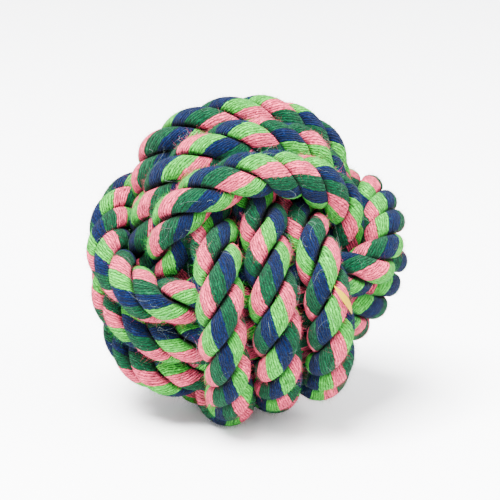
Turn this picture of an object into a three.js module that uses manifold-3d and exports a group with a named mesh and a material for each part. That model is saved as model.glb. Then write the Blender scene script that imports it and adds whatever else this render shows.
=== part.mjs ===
// A rope ball for dogs: one length of three-strand cotton rope, laid as three bundles of three turns
// round a core. Each bundle lies over one of its neighbours and under the other, and both cut ends
// are tucked inside. Millimetres, +Z up, the ball at rest on the floor with its middle over the origin.

import * as THREE from "three";
import Module from "manifold-3d";
import { mergeVertices } from "three/addons/utils/BufferGeometryUtils.js";

// Driving dimensions
const ROPE_DIAMETER = 12;
const CORE_DIAMETER = 28.5;
const ROPE_GAP = 1.3; // left between turns that touch on the real ball
const FIT_GAP = 0.3; // left between separate pieces that touch
const END_SEAL_LENGTH = 4;
const THREAD_LENGTH = 8.5;
const THREAD_WIDTH = 1.8;
const THREAD_THICKNESS = 0.5;

// The rope is soft: where turns cross it is pressed to this share of its diameter
const PRESSED_SHARE = 0.8;
const CUT_SHARE = 0.1; // depth of the flat that the ball rests on, of the rope's diameter

// How the ball lies on the floor: turned about Z, then leaned about X, then rolled about Y
const TURN_DEGREES = 15.7;
const LEAN_DEGREES = 25.2;
const ROLL_DEGREES = 5.1;

// The winding: turns in a bundle, and the stages of settling that part the turns
const TURNS = 3;
const STEPS_PER_LOOP = 24;
const SECTION_SIDES = 6;
const SIDE_FULLNESS_SHARE = 1.02; // widens the six-sided section so that its flat sides stand full
const POINTS_PER_STEP = 2;
const SETTLING_STAGES = 14;
const LATE_STAGES = 4;
const ROUNDS_PER_STAGE = 8;
const PUSHES_PER_ROUND = 2;

const WHOLE_TURN = 360;
const pressedThickness = ROPE_DIAMETER * PRESSED_SHARE;
const coreRadius = CORE_DIAMETER / 2;

// A bundle's loops are rounded oblongs: long to its outward side, short to its inward side, and one
// behind the other along its third side. Angles run on from turn to turn. Each turn steps over to the
// next one's place at one angle, and the last pass moves aside by a part of a turn to leave the
// bundle. Shares are of the rope's diameter, and a leaving share is of the turns' spacing.
const BUNDLES = [
  {
    outward: new THREE.Vector3(0, -1, 0),
    inward: new THREE.Vector3(0, 0, 1),
    along: new THREE.Vector3(1, 0, 0),
    spacingShare: 1.15,
    shiftShare: 0.18,
    outwardSkewShare: -0.32,
    inwardSkewShare: -0.21,
    firstAngle: -78,
    stepOverAngle: 255,
    leavingShare: 0.4,
    lastAngle: 965,
  },
  {
    outward: new THREE.Vector3(0, 0, -1),
    inward: new THREE.Vector3(-1, 0, 0),
    along: new THREE.Vector3(0, 1, 0),
    spacingShare: 0.85,
    shiftShare: 0.29,
    outwardSkewShare: -0.17,
    inwardSkewShare: -0.01,
    firstAngle: 16,
    stepOverAngle: 285,
    leavingShare: 0,
    lastAngle: 965,
  },
  {
    outward: new THREE.Vector3(1, 0, 0),
    inward: new THREE.Vector3(0, -1, 0),
    along: new THREE.Vector3(0, 0, 1),
    spacingShare: 1.12,
    shiftShare: -0.55,
    outwardSkewShare: 0.31,
    inwardSkewShare: -0.08,
    firstAngle: 16,
    stepOverAngle: 300,
    leavingShare: 0,
    lastAngle: 990,
  },
];
const INWARD_SLACK_SHARE = 0.37; // inner passes lie this far off the core before they settle
const LAYER_SHARE = 0.92; // from an inner pass to the outer pass that covers it
const SQUARENESS = 4.22; // 2 is an ellipse, more is squarer
const OUTWARD_ROUNDING_SHARE = 0.74; // how far the outer turns of a bundle follow the ball's roundness
const INWARD_ROUNDING_SHARE = -0.51; // below 0, a bundle's outer turns stand further off the core
const STEP_OVER_HALF_ANGLE = 35;
const LEAVING_ANGLE = 950;
const LEAVING_HALF_ANGLE = 40;
const ANGLE_STEP = 4;
const CROSSOVER_PULL_SHARE = 0.37; // handles of the curve between bundles, of the distance it spans
const CROSSOVER_POINTS = 10;

const lowestReach = coreRadius + FIT_GAP + (pressedThickness - ROPE_GAP) / 2; // lying on the core
const innerReach = lowestReach + ROPE_DIAMETER * INWARD_SLACK_SHARE;
const outerReach = innerReach + ROPE_DIAMETER * LAYER_SHARE;

// Settling: how much a round straightens the rope, evens out its bend, draws it home and parts
// crossing turns
const STRAIGHTEN_SHARE = 0.15;
const STIFFEN_SHARE = 0.2;
const STIFFEN_REACH = 3; // in route points
const STIFFEN_NEAR_WEIGHT = 4; // of the two points a reach away, where the two beyond count -1
const HOME_SHARE = 0.02;
const LATE_SHARE = 0.05;
const PUSH_SHARE = 0.3;
const NEIGHBOUR_SHARE = 1.8; // rope nearer than this along its length is the same stretch
const OVERSHOOT_SHARE = 0.5;
const SWELL_SHARE = 0.2;
const farthestReach = outerReach + ROPE_DIAMETER * SWELL_SHARE;

const wasm = await Module();
wasm.setup();

function smoothStep(value, middle, half) {
  return THREE.MathUtils.smoothstep(value, middle - half, middle + half);
}

function roundedPower(value) {
  return Math.sign(value) * Math.abs(value) ** (2 / SQUARENESS);
}

// A point of a bundle's rope, at an angle that runs on through its turns
function bundlePoint(bundle, degrees) {
  const loops =
    smoothStep(degrees, bundle.stepOverAngle, STEP_OVER_HALF_ANGLE) +
    smoothStep(degrees, bundle.stepOverAngle + WHOLE_TURN, STEP_OVER_HALF_ANGLE) +
    bundle.leavingShare * smoothStep(degrees, LEAVING_ANGLE, LEAVING_HALF_ANGLE);
  const place = (loops - (TURNS - 1) / 2) * bundle.spacingShare * ROPE_DIAMETER;
  const longReach = Math.sqrt(outerReach ** 2 - OUTWARD_ROUNDING_SHARE * place ** 2);
  const shortReach = Math.sqrt(innerReach ** 2 - INWARD_ROUNDING_SHARE * place ** 2);
  const angle = THREE.MathUtils.degToRad(degrees);
  const out = longReach * roundedPower(Math.cos(angle));
  const inn = shortReach * roundedPower(Math.sin(angle));
  const skew =
    bundle.shiftShare +
    (bundle.outwardSkewShare * out) / outerReach +
    (bundle.inwardSkewShare * inn) / innerReach;
  return new THREE.Vector3()
    .addScaledVector(bundle.outward, out)
    .addScaledVector(bundle.inward, inn)
    .addScaledVector(bundle.along, place + skew * ROPE_DIAMETER);
}

function bundlePoints(bundle) {
  const points = [];
  for (let a = bundle.firstAngle; a <= bundle.lastAngle + 1; a += ANGLE_STEP) {
    points.push(bundlePoint(bundle, a));
  }
  return points;
}

// The short curve by which the rope leaves one bundle and starts the next
function crossover(before, after) {
  const start = before.at(-1);
  const end = after[0];
  const pull = start.distanceTo(end) * CROSSOVER_PULL_SHARE;
  const leaving = start.clone().sub(before.at(-2)).setLength(pull);
  const joining = after[1].clone().sub(end).setLength(pull);
  const curve = new THREE.CubicBezierCurve3(
    start,
    start.clone().add(leaving),
    end.clone().sub(joining),
    end,
  );
  return curve.getPoints(CROSSOVER_POINTS + 1).slice(1, -1);
}

// The same polyline with its points spaced evenly
function evenly(points, count) {
  const lengths = [0];
  for (let i = 1; i < points.length; i += 1) {
    lengths.push(lengths[i - 1] + points[i].distanceTo(points[i - 1]));
  }
  const result = [];
  let i = 1;
  for (let k = 0; k <= count; k += 1) {
    const target = (lengths.at(-1) * k) / count;
    while (i < points.length - 1 && lengths[i] < target) {
      i += 1;
    }
    const share = (target - lengths[i - 1]) / (lengths[i] - lengths[i - 1]);
    result.push(points[i - 1].clone().lerp(points[i], share));
  }
  return result;
}

function alongRope(points, i) {
  const before = points[Math.max(i - 1, 0)];
  const after = points[Math.min(i + 1, points.length - 1)];
  return after.clone().sub(before).normalize();
}

// Straightens the rope a little, moves each point to where its bend is like that of the rope on both
// sides of it, and draws it back towards the shape it was laid in
function tighten(points, home, fade) {
  const old = points.map((p) => p.clone());
  for (let i = 1; i < points.length - 1; i += 1) {
    const middle = old[i - 1].clone().add(old[i + 1]).divideScalar(2);
    points[i].lerp(middle, STRAIGHTEN_SHARE * fade);
  }
  const eased = points.map((p) => p.clone());
  const far = 2 * STIFFEN_REACH;
  for (let i = far; i < points.length - far; i += 1) {
    const near = eased[i - STIFFEN_REACH].clone().add(eased[i + STIFFEN_REACH]);
    const beyond = eased[i - far].clone().add(eased[i + far]);
    const weighed = near.multiplyScalar(STIFFEN_NEAR_WEIGHT).sub(beyond);
    const even = weighed.divideScalar(2 * (STIFFEN_NEAR_WEIGHT - 1));
    points[i].lerp(even, STIFFEN_SHARE * fade);
  }
  points.forEach((p, i) => p.lerp(home[i], HOME_SHARE * fade));
}

// Calls visit for each two points of separate stretches that are near each other, with the way
// from the second to the first and its size, where a rise out of the ball counts for more because
// the rope is pressed flatter there
function forNearPairs(points, visit) {
  const skip = Math.round((NEIGHBOUR_SHARE * ROPE_DIAMETER) / points[1].distanceTo(points[0]));
  const between = new THREE.Vector3();
  const outward = new THREE.Vector3();
  for (let i = 0; i < points.length; i += 1) {
    for (let j = i + skip + 1; j < points.length; j += 1) {
      between.subVectors(points[i], points[j]);
      if (between.lengthSq() < ROPE_DIAMETER ** 2) {
        outward.addVectors(points[i], points[j]).normalize();
        const rise = between.dot(outward);
        const size = Math.sqrt(between.lengthSq() + (1 / PRESSED_SHARE ** 2 - 1) * rise ** 2);
        visit(i, j, between, size);
      }
    }
  }
}

// Parts turns that are nearer than the rope's size, without sliding them along themselves
function partTurns(points) {
  const shifts = points.map(() => new THREE.Vector3());
  forNearPairs(points, (i, j, between, size) => {
    const push = (PUSH_SHARE * Math.max(ROPE_DIAMETER - size, 0)) / size;
    shifts[i].addScaledVector(between, push);
    shifts[j].addScaledVector(between, -push);
  });
  const ways = points.map((_, i) => alongRope(points, i));
  points.forEach((p, i) => p.add(shifts[i].addScaledVector(ways[i], -shifts[i].dot(ways[i]))));
}

// Keeps every turn off the core and inside the ball
function keepDepth(points) {
  for (const p of points) {
    const reach = p.length();
    const short = Math.max(lowestReach - reach, 0);
    const over = Math.max(reach - farthestReach, 0);
    p.setLength(reach + short - over * OVERSHOOT_SHARE);
  }
}

function settle(home) {
  let points = home;
  for (let stage = 0; stage < SETTLING_STAGES; stage += 1) {
    points = evenly(points, home.length - 1);
    const fade = stage < SETTLING_STAGES - LATE_STAGES ? 1 : LATE_SHARE;
    for (let round = 0; round < ROUNDS_PER_STAGE; round += 1) {
      tighten(points, home, fade);
      for (let k = 0; k < PUSHES_PER_ROUND; k += 1) {
        partTurns(points);
        keepDepth(points);
      }
    }
  }
  return evenly(points, home.length - 1);
}

// The rope's centre line, in the ball's own frame with the core's middle at zero
const loops = BUNDLES.length * TURNS;
const stepCount = loops * STEPS_PER_LOOP;
const laid = BUNDLES.map(bundlePoints);
const crossed = laid.slice(1).map((points, k) => [...crossover(laid[k], points), ...points]);
const laidRoute = [laid[0], ...crossed].flat();
const route = settle(evenly(laidRoute, stepCount * POINTS_PER_STEP));

// How thick the rope can be at each point of its route, at most its own diameter
const girths = route.map(() => ROPE_DIAMETER);
forNearPairs(route, (i, j, between, size) => {
  girths[i] = Math.min(girths[i], size);
  girths[j] = Math.min(girths[j], size);
});

const pose = new THREE.Euler(
  THREE.MathUtils.degToRad(LEAN_DEGREES),
  THREE.MathUtils.degToRad(ROLL_DEGREES),
  THREE.MathUtils.degToRad(TURN_DEGREES),
  "YXZ",
);
route.forEach((p) => p.applyEuler(pose));

const spacing = route[1].distanceTo(route[0]);
const ropeLength = (route.length - 1) * spacing;

// A point of the route at a length along it
function pointAt(length) {
  const place = THREE.MathUtils.clamp(length / spacing, 0, route.length - 1);
  const i = Math.min(Math.floor(place), route.length - 2);
  return route[i].clone().lerp(route[i + 1], place - i);
}

// The rope's own directions there: along it, out of the ball and to its side
function directionsAt(length) {
  const centre = pointAt(length);
  const along = pointAt(length + spacing).sub(pointAt(length - spacing)).normalize();
  const out = centre.clone().addScaledVector(along, -centre.dot(along)).normalize();
  return { centre, out, side: along.clone().cross(out) };
}

// The rope's section: corners round an oval that fills the room it has, pressed flat below, and
// full above on an outer pass
const middleReach = (innerReach + outerReach) / 2;
const fullHalfWidth = (ROPE_DIAMETER - ROPE_GAP) / 2;

function ropeSection(length) {
  const { centre, out, side } = directionsAt(length);
  const place = Math.round(length / spacing);
  const nearby = girths.slice(Math.max(place - POINTS_PER_STEP, 0), place + POINTS_PER_STEP + 1);
  const girth = Math.min(...nearby);
  const halfWidth = ((girth - ROPE_GAP) / 2) * SIDE_FULLNESS_SHARE;
  const below = (girth * PRESSED_SHARE - ROPE_GAP) / 2;
  const outness = THREE.MathUtils.smoothstep(centre.length(), middleReach, outerReach);
  const above = THREE.MathUtils.lerp(below, fullHalfWidth, outness);
  const corners = [];
  for (let k = 0; k < SECTION_SIDES; k += 1) {
    const angle = ((k + 1 / 2) / SECTION_SIDES) * 2 * Math.PI;
    const height = Math.sin(angle) > 0 ? above : below;
    corners.push(
      centre
        .clone()
        .addScaledVector(side, Math.cos(angle) * halfWidth)
        .addScaledVector(out, Math.sin(angle) * height),
    );
  }
  return corners;
}

// One closed body through a row of sections that all have as many corners
function tubeGeometry(sections) {
  const sides = sections[0].length;
  const middleOf = (corners) =>
    corners.reduce((sum, p) => sum.add(p), new THREE.Vector3()).divideScalar(sides);
  const points = [...sections.flat(), middleOf(sections[0]), middleOf(sections.at(-1))];
  const index = [];
  for (let i = 0; i < sections.length - 1; i += 1) {
    for (let k = 0; k < sides; k += 1) {
      const a = i * sides + k;
      const b = i * sides + ((k + 1) % sides);
      index.push(a, b + sides, b, a, a + sides, b + sides);
    }
  }
  const last = (sections.length - 1) * sides;
  const startMiddle = sections.length * sides;
  for (let k = 0; k < sides; k += 1) {
    const next = (k + 1) % sides;
    index.push(startMiddle, k, next);
    index.push(startMiddle + 1, last + next, last + k);
  }
  const geometry = new THREE.BufferGeometry().setFromPoints(points);
  geometry.setIndex(index);
  return geometry;
}

function ropePiece(from, to, steps) {
  const sections = [];
  for (let i = 0; i <= steps; i += 1) {
    sections.push(ropeSection(THREE.MathUtils.lerp(from, to, i / steps)));
  }
  return sections;
}

// The least gap between stretches of the rope, measured between points of its long edges
function leastGap(sections) {
  const step = ropeLength / sections.length;
  const apart = Math.ceil((NEIGHBOUR_SHARE * ROPE_DIAMETER) / step);
  const first = new THREE.Line3();
  const second = new THREE.Line3();
  let least = Infinity;
  for (let i = 0; i < sections.length - 1; i += 1) {
    for (let j = i + apart; j < sections.length - 1; j += 1) {
      if (sections[i][0].distanceTo(sections[j][0]) < 2 * ROPE_DIAMETER) {
        for (let a = 0; a < SECTION_SIDES; a += 1) {
          first.set(sections[i][a], sections[i + 1][a]);
          for (let b = 0; b < SECTION_SIDES; b += 1) {
            second.set(sections[j][b], sections[j + 1][b]);
            least = Math.min(least, first.distanceSqToLine3(second));
          }
        }
      }
    }
  }
  return Math.sqrt(least);
}

// Solids for cutting
function toSolid(geometry) {
  const bare = geometry.clone();
  bare.deleteAttribute("normal");
  bare.deleteAttribute("uv");
  const merged = mergeVertices(bare);
  return new wasm.Manifold(
    new wasm.Mesh({
      numProp: 3,
      vertProperties: merged.attributes.position.array,
      triVerts: new Uint32Array(merged.index.array),
    }),
  );
}

function toGeometry(solid) {
  const mesh = solid.getMesh();
  const geometry = new THREE.BufferGeometry();
  geometry.setAttribute("position", new THREE.BufferAttribute(mesh.vertProperties, 3));
  geometry.setIndex(new THREE.BufferAttribute(mesh.triVerts, 1));
  return geometry;
}

function addPiece(name, geometry, colour, roughness) {
  geometry.computeVertexNormals();
  const material = new THREE.MeshStandardMaterial({ color: colour, roughness, metalness: 0 });
  const mesh = new THREE.Mesh(geometry, material);
  mesh.name = name;
  ball.add(mesh);
}

const ball = new THREE.Group();

// Rope: one tube from seal to seal, cut flat where the ball rests
const ropeStart = END_SEAL_LENGTH + FIT_GAP;
const ropeEnd = ropeLength - ropeStart;
const ropeSections = ropePiece(ropeStart, ropeEnd, stepCount);
console.log(`rope length ${ropeLength.toFixed(0)} mm`);
console.log(`least gap of the rope to itself ${leastGap(ropeSections).toFixed(2)} mm`);
const wholeRope = tubeGeometry(ropeSections);
wholeRope.computeBoundingBox();
const ropeBox = wholeRope.boundingBox;
const floor = ropeBox.min.z + ROPE_DIAMETER * CUT_SHARE;
const keptSize = ropeBox.getSize(new THREE.Vector3()).multiplyScalar(2);
const keptBlock = new THREE.BoxGeometry(keptSize.x, keptSize.y, keptSize.z);
keptBlock.translate(0, 0, floor + keptSize.z / 2);
const rope = toGeometry(toSolid(wholeRope).intersect(toSolid(keptBlock)));
addPiece("wound_rope", rope, "#2f7a55", 0.95);

// Core: the ball that the inner passes lie on
const CORE_WIDTH_SEGMENTS = 32;
const CORE_HEIGHT_SEGMENTS = 20;
const coreShape = new THREE.SphereGeometry(coreRadius, CORE_WIDTH_SEGMENTS, CORE_HEIGHT_SEGMENTS);
addPiece("core_ball", coreShape, "#3f5f58", 0.9);

// End seals: the cut ends are dipped so that the strands can't open
const sealSteps = 1;
addPiece("rope_end_seal_start", tubeGeometry(ropePiece(0, END_SEAL_LENGTH, sealSteps)), "#cfc6ae", 0.6);
addPiece(
  "rope_end_seal_finish",
  tubeGeometry(ropePiece(ropeLength - END_SEAL_LENGTH, ropeLength, sealSteps)),
  "#cfc6ae",
  0.6,
);

// Yellow thread: a flat sliver that lies across the third front turn, pointed at both ends
const THREAD_PLACE_SHARE = 0.268; // of the rope's length
const THREAD_LOWER_SHARE = 0.15; // of the way across the rope's front right side, from its right edge
const THREAD_UPPER_SHARE = 0.9;
const THREAD_STEPS = 8;
const THREAD_POINT_SHARE = 0.12; // width of its pointed ends, of its greatest width
const THREAD_CORNERS = [
  { across: -1, up: 0 },
  { across: -1, up: 1 },
  { across: 1, up: 1 },
  { across: 1, up: 0 },
];
const threadSections = [];
for (let i = 0; i <= THREAD_STEPS; i += 1) {
  const share = i / THREAD_STEPS;
  const place = ropeLength * THREAD_PLACE_SHARE + THREAD_LENGTH * (share - 1 / 2);
  const [edge, front] = ropeSection(place);
  const { centre } = directionsAt(place);
  const across = front.clone().sub(edge).normalize();
  const alongThere = pointAt(place + spacing).sub(pointAt(place - spacing)).normalize();
  const away = alongThere.cross(across).normalize();
  if (away.dot(edge.clone().sub(centre)) < 0) {
    away.negate();
  }
  const middlePoint = edge
    .clone()
    .lerp(front, THREE.MathUtils.lerp(THREAD_LOWER_SHARE, THREAD_UPPER_SHARE, share));
  const swell = THREAD_POINT_SHARE + (1 - THREAD_POINT_SHARE) * Math.sin(Math.PI * share);
  threadSections.push(
    THREAD_CORNERS.map((corner) =>
      middlePoint
        .clone()
        .addScaledVector(away, FIT_GAP + corner.up * THREAD_THICKNESS)
        .addScaledVector(across, (corner.across * swell * THREAD_WIDTH) / 2),
    ),
  );
}
addPiece("yellow_thread", tubeGeometry(threadSections), "#e3c34a", 0.5);

// The ball stands on its flat, with the middle of its outline over the origin
rope.computeBoundingBox();
const middle = rope.boundingBox.getCenter(new THREE.Vector3());
ball.position.set(-middle.x, -middle.y, -floor);

export default ball;
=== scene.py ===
import math

import bpy
import numpy as np
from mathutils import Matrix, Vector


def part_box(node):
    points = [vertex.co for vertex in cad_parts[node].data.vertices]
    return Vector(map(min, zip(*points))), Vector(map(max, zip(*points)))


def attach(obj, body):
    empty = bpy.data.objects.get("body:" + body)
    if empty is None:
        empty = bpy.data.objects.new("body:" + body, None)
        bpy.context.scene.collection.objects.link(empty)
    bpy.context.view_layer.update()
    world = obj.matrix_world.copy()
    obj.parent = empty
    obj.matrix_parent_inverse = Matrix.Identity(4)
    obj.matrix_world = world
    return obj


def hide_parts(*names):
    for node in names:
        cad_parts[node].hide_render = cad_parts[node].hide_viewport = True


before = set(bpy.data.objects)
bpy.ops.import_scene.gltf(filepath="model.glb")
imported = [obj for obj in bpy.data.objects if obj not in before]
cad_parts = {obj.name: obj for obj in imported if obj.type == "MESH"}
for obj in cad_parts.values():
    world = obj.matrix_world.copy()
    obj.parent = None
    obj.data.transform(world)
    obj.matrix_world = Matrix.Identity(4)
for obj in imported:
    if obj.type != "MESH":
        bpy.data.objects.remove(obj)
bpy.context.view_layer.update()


# The core is a ball of cotton yarn, wound tight in bands that cross each other. The rope is knotted
# round it, so it only shows deep between two turns. Its near-black colour is painted shade, so that
# it reads as the shadow in those gaps.

class Wire:
    """A shader value. Its operators add Math nodes, and node() adds any other node to its material."""

    def __init__(self, tree, socket=None):
        self.tree = tree
        self.socket = socket

    def node(self, kind, settings=None, inputs=None, output=0):
        """Adds a node: its settings first, then the values or wires of its inputs, by name or place."""
        made = self.tree.nodes.new(kind)
        for name, value in (settings or {}).items():
            setattr(made, name, value)
        for key, value in (inputs or {}).items():
            if isinstance(value, Wire):
                self.tree.links.new(value.socket, made.inputs[key])
            else:
                made.inputs[key].default_value = value
        return Wire(self.tree, made.outputs[output] if made.outputs else None)

    def math(self, operation, *values):
        inputs = dict(enumerate(values))
        return self.node("ShaderNodeMath", {"operation": operation}, inputs)

    def __add__(self, other):
        return self.math("ADD", self, other)

    __radd__ = __add__

    def __sub__(self, other):
        return self.math("SUBTRACT", self, other)

    def __rsub__(self, other):
        return self.math("SUBTRACT", other, self)

    def __mul__(self, other):
        return self.math("MULTIPLY", self, other)

    __rmul__ = __mul__

    def __truediv__(self, other):
        return self.math("DIVIDE", self, other)

    def __lt__(self, other):
        return self.math("LESS_THAN", self, other)

    def __gt__(self, other):
        return self.math("GREATER_THAN", self, other)

    def whole(self):
        return self.math("FLOOR", self)

    def rest(self):
        return self.math("FRACT", self)

    def within(self, low, high):
        """0 below low, 1 above high, smooth between."""
        settings = {"interpolation_type": "SMOOTHSTEP"}
        inputs = {"Value": self, "From Min": low, "From Max": high, "To Min": 0.0, "To Max": 1.0}
        return self.node("ShaderNodeMapRange", settings, inputs)

    def blend(self, first, second):
        """The first colour where this is 0, the second where it is 1."""
        return self.node("ShaderNodeMix", {"data_type": "RGBA"}, {0: self, 6: first, 7: second}, 2)

    def noise(self, place, scale, detail=2.0, roughness=0.5):
        inputs = {"Vector": place, "Scale": scale, "Detail": detail, "Roughness": roughness}
        return self.node("ShaderNodeTexNoise", {}, inputs)

    def vector(self, x, y, z):
        return self.node("ShaderNodeCombineXYZ", {}, {0: x, 1: y, 2: z})


def new_material(name):
    """An empty material, and a wire to build its nodes from."""
    material = bpy.data.materials.new(name)
    material.use_nodes = True
    material.node_tree.nodes.clear()
    return material, Wire(material.node_tree)


MATT_SPECULAR = 0.03  # yarn, seal and paper hardly mirror at all
SHEEN_ROUGHNESS = 0.5


def finish_material(start, colour, roughness, height, bump, sheen=0.0):
    """Joins colour, roughness and bump height, in metres, to a Principled shader and the output."""
    normal = start.node("ShaderNodeBump", {}, {"Strength": bump, "Distance": 1.0, "Height": height})
    inputs = {
        "Base Color": colour,
        "Roughness": roughness,
        "Normal": normal,
        "Sheen Weight": sheen,
        "Sheen Roughness": SHEEN_ROUGHNESS,
        "Specular IOR Level": MATT_SPECULAR,
    }
    shader = start.node("ShaderNodeBsdfPrincipled", {}, inputs)
    start.node("ShaderNodeOutputMaterial", {}, {"Surface": shader})


def grid_faces(rows, columns, closed):
    """Faces of a grid of rows by columns, whose columns join round where closed is true."""
    row = np.arange(rows - 1)[:, None] * columns
    column = np.arange(columns if closed else columns - 1)[None]
    following = (column + 1) % columns
    corners = [row + column, row + following, row + columns + following, row + columns + column]
    return np.stack(corners, axis=2).reshape(-1, 4)


def add_mesh(name, points, faces, uv=None, caps=(), openness=None):
    """A mesh object of these points, faces and flat caps, smooth, with one UV place for each corner.
    Openness is a number for each point, 0 deep in a crease and 1 outside."""
    mesh = bpy.data.meshes.new(name)
    mesh.from_pydata(points.reshape(-1, 3).tolist(), [], faces.tolist() + [cap.tolist() for cap in caps])
    if uv is not None:
        layer = mesh.uv_layers.new(name="yarn")
        layer.data.foreach_set("uv", uv.reshape(-1).astype(np.float32))
    if openness is not None:
        mesh.attributes.new("openness", "FLOAT", "POINT").data.foreach_set("value", openness.ravel())
    mesh.polygons.foreach_set("use_smooth", np.ones(len(mesh.polygons), dtype=bool))
    mesh.update()
    made = bpy.data.objects.new(name, mesh)
    bpy.context.scene.collection.objects.link(made)
    return made


CORE_YARN_WIDTH = 0.0016
CORE_YARN_DEPTH = 0.00025
CORE_BANDS = 9
CORE_BAND_HALF_WIDTH = 4.5 * CORE_YARN_WIDTH
CORE_ROWS = 97
CORE_SIDES = 192
CORE_SEED = 11
# Painted shade: both core colours are near black, for the shadow deep between the turns
CORE_SHADE_DARK = (0.002, 0.007, 0.01, 1)
CORE_SHADE_PALER = (0.007, 0.03, 0.018, 1)
CORE_FIBRES_PER_METRE = 2500.0
CORE_PATCHES_PER_METRE = 160.0
CORE_FIBRE_HEIGHT = 0.00008
CORE_SHEEN = 0.2
core_low, core_high = (np.array(corner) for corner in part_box("core_ball"))
core_middle = (core_low + core_high) / 2
core_radius = (core_high - core_low).min() / 2

# Rows of points go from pole to pole, and each row goes once round
core_latitude = np.linspace(-math.pi / 2, math.pi / 2, CORE_ROWS)[:, None]
core_longitude = np.linspace(0, 2 * math.pi, CORE_SIDES, endpoint=False)[None]
core_normal = np.stack(
    [
        np.cos(core_latitude) * np.cos(core_longitude),
        np.cos(core_latitude) * np.sin(core_longitude),
        np.sin(core_latitude) * np.ones_like(core_longitude),
    ],
    axis=2,
)
# Each band lies round its own great circle, and the last one wound is on top where it passes
core_height = np.zeros(core_normal.shape[:2])
random = np.random.default_rng(CORE_SEED)
for band in range(CORE_BANDS):
    axis = random.normal(size=3)
    axis /= np.linalg.norm(axis)
    off = core_radius * np.arcsin(np.clip(core_normal @ axis, -1, 1))
    ridges = CORE_YARN_DEPTH * np.abs(np.cos(math.pi * off / CORE_YARN_WIDTH))
    core_height = np.where(np.abs(off) < CORE_BAND_HALF_WIDTH, ridges, core_height)
core_points = core_middle + core_normal * (core_radius - CORE_YARN_DEPTH + core_height)[..., None]
core_ball = add_mesh("core_yarn_ball", core_points, grid_faces(CORE_ROWS, CORE_SIDES, True))
core_material, start = new_material("core_yarn_painted_shade")
place = start.node("ShaderNodeTexCoord", output=3)
fibres = start.noise(place, CORE_FIBRES_PER_METRE, 3.0)
patches = start.noise(place, CORE_PATCHES_PER_METRE)
core_colour = (fibres * 0.6 + patches * 0.4).blend(CORE_SHADE_DARK, CORE_SHADE_PALER)
core_roughness = 0.95 - 0.1 * patches
finish_material(start, core_colour, core_roughness, fibres * CORE_FIBRE_HEIGHT, 1.0, CORE_SHEEN)
core_ball.data.materials.append(core_material)
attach(core_ball, "root")
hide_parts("core_ball")


# The rope is one length of three-strand cotton. Its route is the one it settles into when it is
# wound round the core as three bundles of three turns, each bundle over one neighbour and under the
# other, and drawn tight.

ROPE_DIAMETER = 0.012
ROPE_GAP = 0.0013  # kept free between the bare solids' turns
FIT_GAP = 0.0003
CORE_DIAMETER = 0.0285
PRESSED_SHARE = 0.8
TURN_DEGREES = 15.7
LEAN_DEGREES = 25.2
ROLL_DEGREES = 5.1
TURNS = 3
STEPS_PER_LOOP = 24
POINTS_PER_STEP = 2
SETTLING_STAGES = 14
LATE_STAGES = 4
ROUNDS_PER_STAGE = 8
PUSHES_PER_ROUND = 2
BUNDLES = [
    {
        "outward": (0, -1, 0), "inward": (0, 0, 1), "along": (1, 0, 0),
        "spacing": 1.15, "shift": 0.18, "outward_skew": -0.32, "inward_skew": -0.21,
        "first": -78, "step_over": 255, "leaving": 0.4, "last": 965,
    },
    {
        "outward": (0, 0, -1), "inward": (-1, 0, 0), "along": (0, 1, 0),
        "spacing": 0.85, "shift": 0.29, "outward_skew": -0.17, "inward_skew": -0.01,
        "first": 16, "step_over": 285, "leaving": 0, "last": 965,
    },
    {
        "outward": (1, 0, 0), "inward": (0, -1, 0), "along": (0, 0, 1),
        "spacing": 1.12, "shift": -0.55, "outward_skew": 0.31, "inward_skew": -0.08,
        "first": 16, "step_over": 300, "leaving": 0, "last": 990,
    },
]
INWARD_SLACK_SHARE = 0.37
LAYER_SHARE = 0.92
SQUARENESS = 4.22
OUTWARD_ROUNDING_SHARE = 0.74
INWARD_ROUNDING_SHARE = -0.51
STEP_OVER_HALF_ANGLE = 35
LEAVING_ANGLE = 950
LEAVING_HALF_ANGLE = 40
ANGLE_STEP = 4
CROSSOVER_PULL_SHARE = 0.37
CROSSOVER_POINTS = 10
STRAIGHTEN_SHARE = 0.15
STIFFEN_SHARE = 0.2
STIFFEN_REACH = 3  # in route points
STIFFEN_NEAR_WEIGHT = 4  # of the two points a reach away, where the two beyond count -1
HOME_SHARE = 0.02
LATE_SHARE = 0.05
PUSH_SHARE = 0.3
NEIGHBOUR_SHARE = 1.8
OVERSHOOT_SHARE = 0.5
SWELL_SHARE = 0.2
lowest_reach = CORE_DIAMETER / 2 + FIT_GAP + (ROPE_DIAMETER * PRESSED_SHARE - ROPE_GAP) / 2
inner_reach = lowest_reach + ROPE_DIAMETER * INWARD_SLACK_SHARE
outer_reach = inner_reach + ROPE_DIAMETER * LAYER_SHARE
farthest_reach = outer_reach + ROPE_DIAMETER * SWELL_SHARE


def smooth_step(value, middle, half):
    """0 before middle - half, 1 after middle + half, and 3t squared - 2t cubed between."""
    t = np.clip((value - middle + half) / (2 * half), 0, 1)
    return t * t * (3 - 2 * t)


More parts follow.
